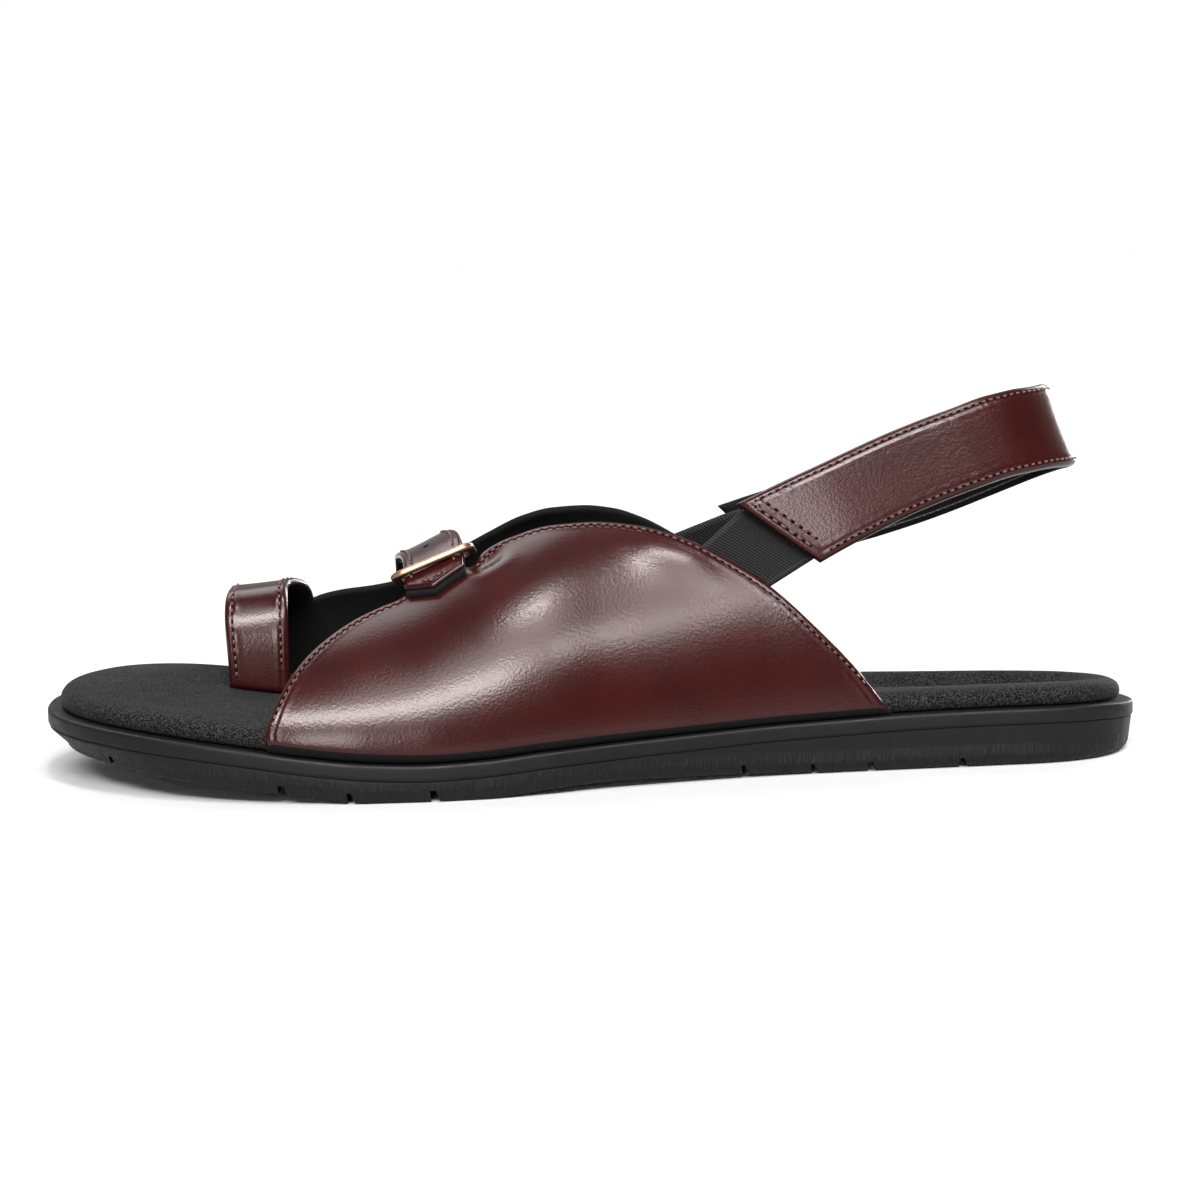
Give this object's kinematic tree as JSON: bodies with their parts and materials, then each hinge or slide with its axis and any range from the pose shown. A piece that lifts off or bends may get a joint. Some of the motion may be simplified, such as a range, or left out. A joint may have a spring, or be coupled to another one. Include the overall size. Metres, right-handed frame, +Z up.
{
  "type": "chappal",
  "caption": "Left men's leather toe-loop sandal with a buckled instep strap, elastic sling-back heel strap, padded footbed and moulded rubber sole.",
  "frame": {"origin": "centre of the shoe's bounding box in plan, on the floor under the sole", "axes": "+X towards the heel, -X towards the toe, -Y the outer (lateral) side, +Y the inner (medial) side, +Z up"},
  "size_m": [0.288, 0.1029, 0.0971],
  "materials": {
    "sole_rubber": "satin black moulded rubber",
    "footbed_nubuck": "matt black nubuck over a soft pad",
    "maroon_leather": "smooth polished maroon leather, black lining inside",
    "rose_gold": "polished rose gold plating",
    "black_webbing": "ribbed black elastic webbing"
  },
  "bodies": {
    "root": {"outsole": "sole_rubber", "footbed": "footbed_nubuck", "upper": "maroon_leather", "buckle_frame": "rose_gold", "elastic_lateral": "black_webbing", "elastic_medial": "black_webbing", "heel_strap": "maroon_leather"}
  },
  "joints": []
}
